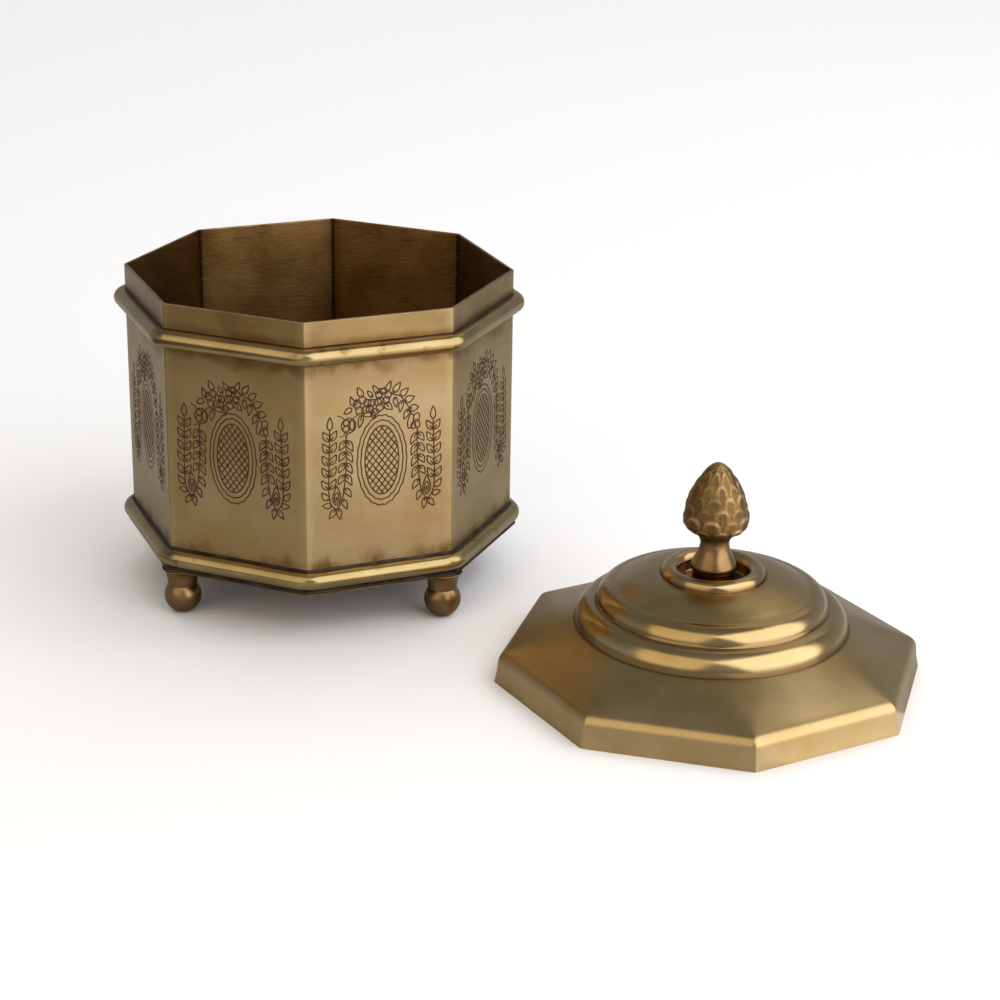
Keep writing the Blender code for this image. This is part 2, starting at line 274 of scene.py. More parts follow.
def lattice(x, y, rx, ry, across, up):
    """Crossed diagonal lines clipped to an oval, with diamonds of this width and height."""
    strokes = []
    reach = int((rx + ry * across / up) / across) + 1
    for lean in (1, -1):
        for k in range(-reach, reach + 1):
            start, run = Vector((k * across, 0)), Vector((across * lean, up))
            a = (run.x / rx) ** 2 + (run.y / ry) ** 2
            b = start.x * run.x / rx**2
            c = (start.x / rx) ** 2 - 1
            inside = b * b - a * c
            if inside > 0.02 * a:
                root = sqrt(inside)
                ends = [start + run * ((-b + s * root) / a) for s in (-1, 1)]
                strokes.append(([end + Vector((x, y)) for end in ends], LINE_W, False))
    return strokes


SPRIG_LEAVES = (  # stalk end, tip, width, vein, bend; to the right of the middle
    (17.4, 47.2, 17.3, 51.6, 1.8, 0.0, 0.0),
    (17.8, 23.9, 20.3, 26.7, 1.9, 0.3, -0.3),
    (17.0, 21.7, 20.1, 22.2, 1.9, 0.3, 0.0),
    (15.7, 20.4, 17.9, 17.4, 1.8, 0.35, 0.0),
    (14.7, 20.6, 14.2, 16.8, 1.7, 0.35, 0.0),
    (12.9, 27.2, 10.4, 23.9, 1.8, 0.4, -0.3),
    (13.6, 23.6, 11.9, 20.0, 1.7, 0.4, -0.2),
    (15.3, 21.6, 15.3, 28.4, 2.7, 0.0, 0.0),
)


def sprig(side):
    """The upright sprig, the hanging sprig and the bud between them; side is -1 or 1."""
    hang = 12.0
    strokes = stem((side * 17.4, 47.4), (side * 17.6, 40), (side * 17.9, 30), (side * 17.7, 24.5),
                   (side * 16.8, 21.6), (side * 15.4, 20.4))
    strokes += stem((side * hang, 45.2), (side * hang, 36), (side * 12.4, 30.5),
                    (side * 13.1, 25), (side * 14.2, 21.8), (side * 15.4, 20.4))
    for tip_y in (47.0, 43.1, 39.0, 35.0, 30.8):
        x = side * (17.4 + 0.5 * (1 - (tip_y - 30) / 17))
        reach = 2.3 + 0.008 * (47 - tip_y)
        for hand in (-1, 1):
            tip = (x + hand * reach, tip_y)
            strokes += leaf((x, tip_y - 3.3), tip, 2.0, vein=0.45, bend=-hand * 0.2)
    for tip_y in (39.9, 36.2, 32.4, 28.5):
        x = side * (hang + 0.04 * (40 - tip_y))
        for hand in (-1, 1):
            drop = 1.0 if hand * side < 0 else 0.2
            tip = (x + hand * 2.25, tip_y - drop + 0.4)
            strokes += leaf((x, tip_y + 3.3), tip, 1.95, vein=0.45, bend=hand * 0.2)
    for x, y, tip_x, tip_y, width, vein, bend in SPRIG_LEAVES:
        strokes += leaf((side * x, y), (side * tip_x, tip_y), width, vein, side * bend)
    strokes += oval(side * 15.3, 24.3, 0.75, 1.7, steps=16)
    strokes += oval(side * 15.3, 24.0, 0.2, 0.6, line=FINE_W, steps=8)
    return strokes


def flower(x, y, size, start):
    """Five petals round a small heart, the first at this many degrees."""
    heart = Vector((x, y))
    strokes = oval(x, y, size * 0.2, size * 0.2, line=FINE_W, steps=10)
    for petal in range(5):
        way = along(radians(start + 72 * petal)).to_2d()
        strokes += leaf(heart + way * 0.22 * size, heart + way * size, size * 0.95, vein=0)
    return strokes


def rose(x, y):
    strokes = oval(x, y, 2.4, 2.45, steps=24)
    strokes += oval(x - 0.85, y + 1.05, 0.95, 0.95, steps=14)
    strokes += oval(x - 0.9, y - 0.95, 1.0, 0.95, steps=14)
    strokes += oval(x + 1.15, y + 0.1, 0.75, 1.75, steps=18)
    strokes += stem((x + 0.2, y + 1.9), (x + 0.35, y), (x + 0.1, y - 1.9))
    strokes += stem((x - 3.8, y + 3.7), (x - 2.6, y + 3.3), (x - 1.4, y + 2.2), line=FINE_W)
    strokes += stem((x - 3.0, y - 3.4), (x - 1.9, y - 3.2), (x - 1.1, y - 2.2), line=FINE_W)
    strokes += stem((x + 1.4, y + 2.2), (x + 2.4, y + 2.9), (x + 3.4, y + 3.2), line=FINE_W)
    strokes += stem((x - 0.4, y - 2.4), (x - 0.8, y - 3.6))
    return strokes


def tulip(x, y):
    strokes = oval(x - 1.0, y + 0.1, 0.95, 2.45, steps=20, tilt=radians(-12))
    strokes += oval(x + 1.0, y + 1.1, 1.05, 1.5, steps=16, tilt=radians(-15))
    strokes += oval(x + 1.2, y - 1.0, 0.9, 1.35, steps=16, tilt=radians(10))
    strokes += oval(x - 0.1, y - 1.5, 0.8, 1.1, steps=12)
    strokes += stem((x + 1.0, y - 2.3), (x + 1.5, y - 3.4))
    return strokes


ARCH_LEAVES = (  # stalk end, tip, width, vein
    ((-10.0, 53.7), (-12.7, 52.2), 1.8, 0.0),
    ((-9.4, 54.4), (-10.4, 57.7), 1.5, 0.0),
    ((-9.2, 54.6), (-8.3, 56.6), 1.1, 0.0),
    ((-6.5, 57.1), (-8.1, 60.5), 1.9, 0.3),
    ((-3.1, 56.8), (-4.8, 59.0), 1.4, 0.4),
    ((-1.2, 57.8), (-3.0, 60.6), 1.5, 0.4),
    ((1.5, 58.0), (3.1, 61.5), 1.6, 0.3),
    ((3.9, 57.5), (6.3, 60.7), 2.0, 0.3),
    ((6.2, 56.1), (9.0, 58.5), 2.0, 0.3),
    ((7.7, 54.2), (11.1, 55.5), 2.2, 0.3),
    ((9.3, 51.6), (12.5, 51.7), 2.2, 0.4),
    ((0.9, 54.3), (3.6, 51.9), 2.2, 0.6),
    ((4.4, 56.0), (4.9, 52.4), 1.5, 0.4),
    ((6.8, 54.6), (6.0, 50.6), 1.6, 0.4),
    ((9.0, 51.4), (7.4, 48.1), 1.7, 0.4),
    ((-6.7, 51.3), (-7.6, 46.9), 1.7, 0.5),
    ((-3.2, 51.0), (-6.6, 51.2), 1.6, 0.3),
    ((1.4, 58.0), (-1.2, 59.3), 1.3, 0.0),
)


def garland():
    strokes = oval(0, 35.2, 8.35, 15.2, waves=22, wave_size=0.012, steps=110)
    strokes += oval(0, 35.3, 7.1, 13.4, waves=20, wave_size=0.010, steps=100)
    strokes += oval(0, 35.3, 5.7, 11.6, steps=64)
    strokes += lattice(0, 35.3, 5.7, 11.6, 2.1, 2.7)
    strokes += sprig(-1) + sprig(1)
    strokes += rose(-11.1, 48.1) + tulip(10.7, 47.2)
    strokes += flower(-6.5, 54.3, 3.2, 20) + flower(-2.4, 53.5, 3.1, 54) + flower(0.6, 56.6, 2.9, 15)
    strokes += oval(-2.7, 50.7, 0.75, 0.75, steps=12)
    strokes += stem((-2.7, 51.5), (-2.6, 52.3))
    for base, tip, width, vein in ARCH_LEAVES:
        strokes += leaf(base, tip, width, vein)
    strokes += stem((2.6, 57.4), (4.1, 56.9), (6.3, 56.0), (7.6, 54.3), (9.3, 51.6), (9.9, 49.6))
    return strokes


def band(points, width, closed):
    """The stroke as a chain of four-sided patches, each counter-clockwise and convex."""
    pairs = list(zip(points, points[1:] + points[:1] if closed else points[1:]))
    runs = [(pair, (pair[1] - pair[0]).normalized()) for pair in pairs]
    patches = []
    for i, ((start, end), way) in enumerate(runs):
        before = runs[i - 1][1] if closed or i else way
        after = runs[(i + 1) % len(runs)][1] if closed or i < len(runs) - 1 else way
        side = Vector((-way.y, way.x)) * width / 2
        ends = []
        for point, neighbour in ((start, before), (end, after)):
            mitre = way + neighbour
            mitre = Vector((-mitre.y, mitre.x)).normalized()
            reach = mitre.dot(side) / (width / 2)
            ends.append((point, mitre * width / 2 / reach if reach > 0.75 else side))
        (a, out_a), (b, out_b) = ends
        if abs((out_a - out_b).dot(way)) > (end - start).length * 0.98:
            out_a = out_b = side
        patches.append([a - out_a, b - out_b, b + out_b, a + out_a])
    return patches


def inside_any(points, patches):
    """Which of the points (an array of rows) lie in one of the convex patches."""
    found = np.zeros(len(points), bool)
    order = np.argsort(points[:, 0])
    along_x = points[order, 0]
    for patch in patches:
        corners = np.array(patch)
        first, last = np.searchsorted(along_x, (corners[:, 0].min(), corners[:, 0].max()))
        near = order[first:last]
        beside = np.ones(len(near), bool)
        for corner, edge in zip(corners, np.roll(corners, -1, 0) - corners):
            off = points[near] - corner
            beside &= edge[0] * off[:, 1] - edge[1] * off[:, 0] > 0
        found[near[beside]] = True
    return found


OUTER, LINES, INNER = range(3)  # material places on a wall plate
CORNER_ROUND = 1.0 * MM
CORNER_STEPS = 6
LIP_ROUND = 0.22 * MM


def engraved_sheet(shift_across, shift_up):
    """A wall plate lying flat: x across, y up from the base plate, face at z 0, garland cut in."""
    half, height = WALL_R * sin(HALF_TURN), RIM_Z - PLATE_TOP
    start = half - CORNER_ROUND * tan(HALF_TURN)
    turns = [HALF_TURN * i / CORNER_STEPS for i in range(CORNER_STEPS + 1)]
    bend = [(start + CORNER_ROUND * sin(turn), -CORNER_ROUND * (1 - cos(turn)))
            for turn in turns]
    reach = bend[-1][0]
    points, edges, faces = [], [], []

    def outline(corners):
        first = len(points)
        points.extend(Vector(c) for c in corners)
        faces.append(list(range(first, len(points))))

    outline([(-reach, 0), (reach, 0), (reach, height), (-reach, height)])
    for x, _ in bend[:-1]:
        for s in (-1, 1):
            edges.append((len(points), len(points) + 1))
            points.extend([Vector((s * x, 0)), Vector((s * x, height))])
    foot = Vector((shift_across, GARLAND_FOOT_Z - PLATE_TOP + shift_up))
    patches = [[corner * MM + foot for corner in patch]
               for stroke in garland() for patch in band(*stroke)]
    for patch in patches:
        outline(patch)
    flat, _, areas, *_ = delaunay_2d_cdt(points, edges, faces, 1, 0.002 * MM)
    middles = np.array(flat)[np.array(areas)].mean(axis=1)

    bm = bmesh.new()
    verts = []
    for p in flat:
        drops = [z for x, z in bend if abs(abs(p.x) - x) < 0.004 * MM]
        verts.append(bm.verts.new((p.x, p.y, drops[-1] if drops else 0.0)))
    cut = []
    for corners, is_line in zip(areas, inside_any(middles, patches)):
        face = bm.faces.new([verts[i] for i in corners])
        if is_line:
            face.material_index = LINES
            cut.append(face)
    rim = [e for e in bm.edges if e.is_boundary]
    floor = only(BMVert, bmesh.ops.extrude_face_region(bm, geom=cut)["geom"])
    bmesh.ops.delete(bm, geom=cut, context="FACES")
    bmesh.ops.translate(bm, verts=floor, vec=(0, 0, -CUT_DEPTH))
    for face in {face for vert in floor for face in vert.link_faces}:
        face.material_index = LINES

    side = bmesh.ops.extrude_edge_only(bm, edges=rim)["geom"]
    inner_half = half - WALL_T * tan(HALF_TURN)
    for vert in only(BMVert, side):
        vert.co = (vert.co.x * inner_half / reach, vert.co.y, -WALL_T)
    for face in bmesh.ops.contextual_create(bm, geom=only(BMEdge, side))["faces"]:
        face.material_index = INNER
    lip = []
    for edge in bm.edges:
        one, other = (vert.co for vert in edge.verts)
        at_top = all(abs(co.y - height) < 0.002 * MM for co in (one, other))
        if at_top and abs(one.z - other.z) < 0.3 * WALL_T and abs(one.x - other.x) > 0.05 * MM:
            lip.append(edge)
    bmesh.ops.bevel(bm, geom=lip, offset=LIP_ROUND, segments=3, profile=0.5, affect="EDGES",
                    material=-1)
    return bm


HAND_PLACING = (  # how far each garland was set off its plate's middle, across and up
    (0.3, 0.2), (-0.4, -0.3), (0.2, 0.0), (-0.2, 0.3), (0.4, -0.2), (-0.9, -0.4), (0.8, 0.0),
    (-0.3, 0.2),
)


def wall_plates(materials):
    for k, (across, up) in enumerate(HAND_PLACING):
        bm = engraved_sheet(across * MM, up * MM)
        facing = along((k + 0.5) * CORNER_TURN)
        sideways = Vector((-facing.y, facing.x, 0))
        turn = Matrix((sideways, (0, 0, 1), facing)).transposed().to_4x4()
        place = Matrix.Translation(BOX_AXIS + facing * WALL_R * FACE + Vector((0, 0, PLATE_TOP)))
        bmesh.ops.transform(bm, matrix=place @ turn, verts=bm.verts)
        finish_piece(f"engraved_wall_{k + 1}", bm, "box", materials,
                     [f"wall_panel_{k + 1}"], sharp=None)


# ---- beads, plate and solder

ROD_STEPS = 26
ROD_BEND_STEPS = 16
SOLDER_BEND_STEPS = 6
PLATE_ROUND = 0.2 * MM
PLATE_CORNER_STEPS = 6


def beads(rod_brass, solder):
    side = degrees(acos(-TOP_BEAD_OUT / BEAD_R))
    outline = arc(TOP_BEAD_OUT, TOP_BEAD_Z, BEAD_R, -side, side, ROD_STEPS)
    bead = bent_round_the_walls(outline, ROD_BEND_STEPS, TOP_BEAD_EASE)
    finish_piece("upper_bead", bead, "box", [rod_brass], ["top_bead"])
    land = -degrees(acos((SOLDER_LAND_OUT - BOTTOM_BEAD_OUT) / BEAD_R))
    side = degrees(acos(-BOTTOM_BEAD_OUT / BEAD_R))
    foot_z = BOTTOM_BEAD_Z + BEAD_R * sin(radians(land))
    outline = arc(BOTTOM_BEAD_OUT, BOTTOM_BEAD_Z, BEAD_R, land, side, ROD_STEPS) + [(0, foot_z)]
    bead = bent_round_the_walls(outline, ROD_BEND_STEPS, BOTTOM_BEAD_EASE)
    finish_piece("lower_bead", bead, "box", [rod_brass], ["bottom_bead"])
    for name, out, z, climb in (("upper", TOP_BEAD_OUT, TOP_BEAD_Z, 0.5 * MM),
                                ("lower", BOTTOM_BEAD_OUT, BOTTOM_BEAD_Z, 1.0 * MM)):
        meet_z = z + sqrt(BEAD_R**2 - out**2)
        fillet = [(0.0, meet_z + climb), (0.15 * MM, meet_z + 0.75 * climb),
                  (0.4 * MM, meet_z + 0.4 * climb), (0.95 * MM, meet_z + 0.1 * MM),
                  (0.9 * MM, meet_z - 0.6 * MM), (0.0, meet_z - 0.6 * MM)]
        line = bent_round_the_walls(fillet, SOLDER_BEND_STEPS)
        finish_piece(f"{name}_solder_line", line, "box", [solder])
    seam = [(0.0, PLATE_TOP - 0.3 * MM), (PLATE_OUT + 0.06 * MM, PLATE_TOP - 0.3 * MM),
            (PLATE_OUT + 0.08 * MM, PLATE_TOP), (SOLDER_LAND_OUT + 0.1 * MM, PLATE_TOP + 0.2 * MM),
            (SOLDER_LAND_OUT + 0.05 * MM, (PLATE_TOP + foot_z) / 2),
            (SOLDER_LAND_OUT + 0.2 * MM, foot_z + 0.15 * MM), (0.0, foot_z + 0.1 * MM)]
    line = bent_round_the_walls(seam, SOLDER_BEND_STEPS)
    finish_piece("base_solder_seam", line, "box", [solder])


def bottom_plate(brass):
    """The base plate: an octagon with rounded corners and softened edges."""
    bm = bmesh.new()
    outline = []
    for k in range(SIDES):
        corner = BOX_AXIS + along(k * CORNER_TURN, WALL_R) + Vector((0, 0, PLATE_LOW))
        for i in range(PLATE_CORNER_STEPS + 1):
            turn = HALF_TURN * (2 * i / PLATE_CORNER_STEPS - 1)
            outline.append(corner + along(k * CORNER_TURN + turn, PLATE_OUT))
    edges = only(BMEdge, draw_line(bm, outline, closed=True))
    face = bmesh.ops.contextual_create(bm, geom=edges)["faces"]
    top = bmesh.ops.extrude_face_region(bm, geom=face)["geom"]
    bmesh.ops.translate(bm, verts=only(BMVert, top), vec=(0, 0, PLATE_TOP - PLATE_LOW))
    flat = [e for e in bm.edges if abs(e.verts[0].co.z - e.verts[1].co.z) < 0.01 * MM]
    bmesh.ops.bevel(bm, geom=flat, offset=PLATE_ROUND, segments=2, profile=0.5, affect="EDGES",
                    material=-1)
    finish_piece("floor_plate", bm, "box", [brass], ["base_plate"])


# ---- feet and screws

BALL_R = 6.1 * MM
BALL_STEPS = 30
COLLAR_R = 4.85 * MM
LATHE_STEPS = 64
HEAD_STEPS = 48
SHANK_STEPS = 24
FOOT_SCREW_R, FOOT_SHANK_R, FOOT_SLOT_W = 2.4 * MM, 1.2 * MM, 0.55 * MM
FINIAL_SCREW_R, FINIAL_SHANK_R, FINIAL_SLOT_W = 3.2 * MM, 1.6 * MM, 0.7 * MM
WASHER_R, WASHER_HOLE_R, WASHER_T = 7.0 * MM, 1.9 * MM, 1.1 * MM
INTO_HEAD = 0.1 * MM


def ball_feet(bronze):
    """Turned feet: a ball, its underside flat, with a collar flaring out to the base plate."""
    meet = degrees(acos((COLLAR_R - 0.25 * MM) / BALL_R))
    outline = [(0, 0)] + arc(0, BALL_R - 0.1 * MM, BALL_R, -79.6, meet, BALL_STEPS)
    meet_z = outline[-1][1]
    rise = PLATE_LOW - meet_z
    outline += smooth([(COLLAR_R - 0.1 * MM, meet_z + 0.1 * MM), (COLLAR_R, meet_z + 0.4 * MM),
                       (COLLAR_R + 0.22 * MM, meet_z + 0.4 * rise),
                       (COLLAR_R + 0.75 * MM, meet_z + 0.75 * rise),
                       (6.6 * MM, PLATE_LOW - 0.15 * MM)], 4)
    outline += [(6.5 * MM, PLATE_LOW), (0, PLATE_LOW)]
    for number in range(1, 5):
        bm = turned(outline, LATHE_STEPS)
        centre = middle(f"ball_foot_{number}").to_2d().to_3d()
        move(bm, centre)
        finish_piece(f"turned_foot_{number}", bm, "box", [bronze],
                     [f"ball_foot_{number}"], sharp=35)


def slotted_head(radius, height, slot_w):
    """A domed head with a straight slot, its flat side at z 0 and its dome up."""
    dome = smooth([(radius * 0.96, height * 0.5), (radius * 0.7, height * 0.82), (0, height)], 5)
    whole = turned([(0, 0), (radius, 0), (radius, height * 0.35), *dome], HEAD_STEPS)
    halves = []
    for s in (-1, 1):
        half = whole.copy()
        bmesh.ops.bisect_plane(half, geom=half.verts[:] + half.edges[:] + half.faces[:],
                               plane_co=(0, s * slot_w / 2, 0), plane_no=(0, s, 0),
                               clear_inner=True)
        bmesh.ops.contextual_create(half, geom=[e for e in half.edges if e.is_boundary])
        halves.append(half)
    whole.free()
    core_r, core_h = radius * 0.985, height * 0.45
    core = turned([(0, 0), (core_r, 0), (core_r, core_h), (0, core_h)], HEAD_STEPS)
    return join(bmesh.new(), *halves, core)


def shank(radius, low, high):
    return turned([(0, low), (radius, low), (radius, high), (0, high)], SHANK_STEPS)


def screws(brass):
    for number in range(1, 5):
        low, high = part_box(f"foot_screw_{number}")
        bm = slotted_head(FOOT_SCREW_R, high.z - PLATE_TOP, FOOT_SLOT_W)
        join(bm, shank(FOOT_SHANK_R, low.z - PLATE_TOP, INTO_HEAD))
        centre = (low + high) / 2
        turn = Matrix.Rotation(0.6 + 1.7 * number, 3, "Z")  # no two slots were left in line
        bmesh.ops.rotate(bm, verts=bm.verts, cent=(0, 0, 0), matrix=turn)
        move(bm, (centre.x, centre.y, PLATE_TOP))
        finish_piece(f"slotted_foot_screw_{number}", bm, "box", [brass],
                     [f"foot_screw_{number}"], sharp=30)
    low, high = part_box("finial_screw")
    top = WELL_Z - SHEET - WASHER_T
    bm = slotted_head(FINIAL_SCREW_R, top - low.z, FINIAL_SLOT_W)
    bmesh.ops.rotate(bm, verts=bm.verts, cent=(0, 0, 0), matrix=Matrix.Rotation(pi, 3, "X"))
    move(bm, (0, 0, top))
    join(bm, shank(FINIAL_SHANK_R, top - INTO_HEAD, high.z))
    move(bm, LID_AXIS)
    finish_piece("slotted_finial_screw", bm, "lid", [brass], ["finial_screw"],
                 sharp=30)
    low_z, high_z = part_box("finial_washer")[0].z, WELL_Z - SHEET
    outline = [(WASHER_HOLE_R, low_z), (WASHER_R - 0.2 * MM, low_z), (WASHER_R, low_z + 0.2 * MM),
               (WASHER_R, high_z - 0.1 * MM), (WASHER_R - 0.1 * MM, high_z),
               (WASHER_HOLE_R, high_z)]
    bm = turned(outline, LATHE_STEPS, closed=True)
    move(bm, LID_AXIS)
    finish_piece("turned_washer", bm, "lid", [brass], ["finial_washer"], sharp=30)


# ---- lid

LID_SECTOR_STEPS = 32
UNDERSIDE = 1  # material place under the lid
SKIRT_ROWS = 4
EDGE_ROWS = 8
FACET_ROWS = 14
STEP_ROWS = 14
DOME_ROWS = 10
RING_ROWS = 16
CROWDING = 1.7  # above 1, more of the columns stand near the corners
SOFTEST_R = 40 * MM  # further in, the octagon's corners are no rounder than here


def lid_outline(sheet):
    """(radius at a corner, height, how octagonal) from the skirt's foot to the well's floor."""
    drop = sheet / FACE
    top_r, top_z = SKIRT_TOP_R - drop, SKIRT_H - sheet
    edge = max(SKIRT_EDGE_R - sheet, 0.4 * MM)
    rows = [(SKIRT_TOP_R + SKIRT_FLARE - drop, 0.0, 1.0)]
    for i in range(1, SKIRT_ROWS):
        share = i / SKIRT_ROWS
        rows.append((top_r + SKIRT_FLARE * (1 - share) ** 1.5, (top_z - edge) * share, 1.0))
    slope = degrees(atan2(FACET_TOP_Z - SKIRT_H, SKIRT_TOP_R - STEP_1_R))
    for out, z in arc(-edge, top_z - edge, edge, 0, 90 - slope, EDGE_ROWS):
        rows.append((top_r + out / FACE, z, 1.0))
    last_r, last_z, _ = rows[-1]
    foot_r, foot_z = STEP_1_R - sheet, FACET_TOP_Z - sheet
    for i in range(1, FACET_ROWS + 1):
        share = i / FACET_ROWS
        r, z = last_r + (foot_r - last_r) * share, last_z + (foot_z - last_z) * share
        rows.append((r, z, 1 - share))
    steps = rounded_step(foot_r, foot_z + 0.05 * MM, STEP_1_W, STEP_1_H, STEP_ROWS)
    foot_r, foot_z = STEP_2_R - sheet, FACET_TOP_Z + STEP_1_H - sheet
    steps += rounded_step(foot_r, foot_z, STEP_2_W, STEP_2_H, STEP_ROWS)[1:]
    for i in range(1, DOME_ROWS):
        share = i / DOME_ROWS
        bow = DOME_BOW * 4 * share * (1 - share)
        r = DOME_EDGE_R - sheet * (1 - share) + (RING_FOOT_R - DOME_EDGE_R) * share
        steps.append((r, DOME_EDGE_Z - sheet + DOME_H * share + bow))
    steps += arc(RING_R, RING_Z, RING_TUBE_R - sheet, 0, 180, RING_ROWS)
    well_r, well_z = WELL_R + sheet, WELL_Z - sheet
    steps += smooth([(well_r, well_z + 0.8 * MM), (well_r - 0.25 * MM, well_z + 0.2 * MM),
                     (well_r - 0.9 * MM, well_z)], 3)
    steps += [(WASHER_R, well_z), (4.0 * MM, well_z), (WASHER_HOLE_R, well_z)]
    return rows + [(r, z, 0.0) for r, z in steps]


def octagon_share(off_corner, corner_r, round_r):
    """An octagon's reach this far off a corner's direction, where the sharp corner's is 1."""
    fillet = round_r / corner_r
    centre = (FACE - fillet) / FACE
    touch = atan2(fillet * sin(HALF_TURN), centre + fillet * FACE)
    if abs(off_corner) < touch:
        across = centre * sin(off_corner)
        return centre * cos(off_corner) + sqrt(fillet**2 - across**2)
    return FACE / cos(HALF_TURN - abs(off_corner))


def lid(outside, underside):
    """The pressed sheet: turned first, then its skirt and facets drawn out to eight sides.

    While it is turned, each row's height is its place in the list of rows.
    """
    over, under = lid_outline(0), lid_outline(SHEET)
    rows = over + under[::-1]
    bm = bmesh.new()
    line = draw_line(bm, [(1.0, 0, i) for i in range(len(rows))], closed=True)
    bmesh.ops.spin(bm, geom=line, cent=(0, 0, 0), axis=(0, 0, 1), angle=tau,
                   steps=SIDES * LID_SECTOR_STEPS, use_merge=True)
    for face in bm.faces:
        heights = sorted(round(v.co.z) for v in face.verts)
        if heights[0] >= len(over) - 1 or (heights[0] == 0 and heights[-1] > 1):
            face.material_index = UNDERSIDE
    for vert in bm.verts:
        r, z, eightfold = rows[round(vert.co.z)]
        sector, place = divmod(atan2(vert.co.y, vert.co.x) / CORNER_TURN + 0.5, 1)
        near = 2 * place - 1
        off_corner = HALF_TURN * copysign(abs(near) ** CROWDING, near)
        round_r = SKIRT_CORNER_R + (1 - eightfold) * INNER_CREASE_R
        share = octagon_share(off_corner, max(r, SOFTEST_R), round_r)
        reach = r * (1 + eightfold * (share - 1))
        angle = sector * CORNER_TURN + off_corner + LID_TURN
        vert.co = LID_AXIS + along(angle, reach) + Vector((0, 0, z))
    finish_piece("pressed_lid", bm, "lid", [outside, underside], ["lid_shell"],
                 sharp=50)


# ---- finial

SCALES_ROUND = 10
SCALE_ROWS = 7.0
SCALE_LENGTH = 1.6  # in rows
SCALE_RELIEF = 0.85 * MM
CONE_STEPS = SCALES_ROUND * 20
CONE_R = 10.4 * MM
GAP_HEIGHT = 0.15  # relief between the scales
ARCH_FOOT = 0.45  # where a scale's straight sides end and its round top begins
RIM_AT, RIM_W = 0.72, 0.26

# Outline: (radius, height above the finial's foot) in millimetres
COLLAR = ((6.4, 0.0), (6.6, 0.2), (6.6, 3.8), (6.75, 4.1), (7.0, 4.5), (7.1, 5.0), (7.1, 5.5))
STEM = ((7.0, 6.0), (6.3, 7.6), (5.4, 9.4), (4.8, 11.0), (4.5, 12.8), (4.8, 14.3))
CONE = ((4.8, 14.3), (5.6, 15.5), (7.0, 16.5), (8.8, 17.6), (10.0, 19.2), (10.2, 21.2),
        (9.8, 23.8), (9.2, 26.6), (7.9, 30.2), (6.0, 33.4), (3.8, 36.6), (2.2, 38.2))


def scale_height(turn, share):
    """Relief of the overlapping scales, 0 to 1; share runs from the cone's foot to its tip.

    Each scale is an arch: straight sides, a round top, a raised rim and upright ribs inside it.
    """
    row_at = share * SCALE_ROWS
    for row in range(int(row_at) - 1, int(row_at) + 1):
        up = (row_at - row) / SCALE_LENGTH
        if not 0 <= up < 1:
            continue
        column, place = divmod(turn * SCALES_ROUND + 0.5 * (row % 2), 1)
        own = noise.noise(Vector((3.7 * (column % SCALES_ROUND), 5.3 * row, 0.5)))
        across = 2 * abs(place - 0.5 + 0.1 * own)
        off_centre = hypot(across / 0.98, max(0, (up - ARCH_FOOT) / (0.5 + 0.1 * own)))
        if off_centre < 1:
            rim = exp(-(((off_centre - RIM_AT) / RIM_W) ** 2))
            ribs = cos(across * 5 * pi) * (1 - off_centre)
            return 0.25 + (0.65 + 0.5 * own) * rim * up**1.3 + 0.12 * ribs
    return GAP_HEIGHT


def finial(bronze):
    """Turned whole, then the cone's scales raised on it and softened, as cast."""
    collar, stem_line, cone = ([(r * MM, FINIAL_Z + z * MM) for r, z in points]
                               for points in (COLLAR, STEM, CONE))
    start = cone[0][1]
    outline = [(0, WELL_Z)] + collar + smooth(stem_line, 6)[1:-1] + smooth(cone, 14)
    outline += smooth([cone[-1], (1.1 * MM, TIP_Z - 0.3 * MM), (0, TIP_Z)], 8)[1:]
    bm = turned(outline, CONE_STEPS)
    relief = bm.verts.layers.float.new("relief")
    for vert in bm.verts:
        r = vert.co.to_2d().length
        share = (vert.co.z - start) / (TIP_Z - start)
        vert[relief] = 1.0
        if share > 0 and r > 0.4 * MM:
            fade = min(1.0, share * 10, (1 - share) * 12)
            height = scale_height(atan2(vert.co.y, vert.co.x) / tau, share)
            vert[relief] = 1 + (height - 1) * fade
            out = vert.co.to_2d().normalized().to_3d()
            vert.co += out * (height - 0.5) * SCALE_RELIEF * (0.45 + 0.55 * r / CONE_R) * fade
    for _ in range(3):
        scaled = [v for v in bm.verts if v.co.z > start]
        bmesh.ops.smooth_vert(bm, verts=scaled, factor=0.5, use_axis_x=True, use_axis_y=True,
                              use_axis_z=True)
    bmesh.ops.rotate(bm, verts=bm.verts, cent=(0, 0, 0), matrix=Matrix.Rotation(0.1, 3, "Z"))
    move(bm, LID_AXIS)
    finish_piece("scaled_cone_finial", bm, "lid", [bronze], ["pine_cone_finial"],
                 sharp=75)


# ---- finishes

SOFTLY = {"interpolation_type": "SMOOTHSTEP"}
TIMES = {"operation": "MULTIPLY", "use_clamp": True}
PLUS = {"operation": "ADD", "use_clamp": True}
MINUS = {"operation": "SUBTRACT", "use_clamp": True}
FLAT_TO_CORNER = 1 - FACE  # as a share of the corner's radius


def colour(code):
    """Linear RGBA of an sRGB hex colour."""
    shares = [int(code[i : i + 2], 16) / 255 for i in (1, 3, 5)]
    return (*(s / 12.92 if s <= 0.04045 else ((s + 0.055) / 1.055) ** 2.4 for s in shares), 1)


def every(size):
    """Noise scale for features of this size in millimetres."""
    return 1 / (size * MM)


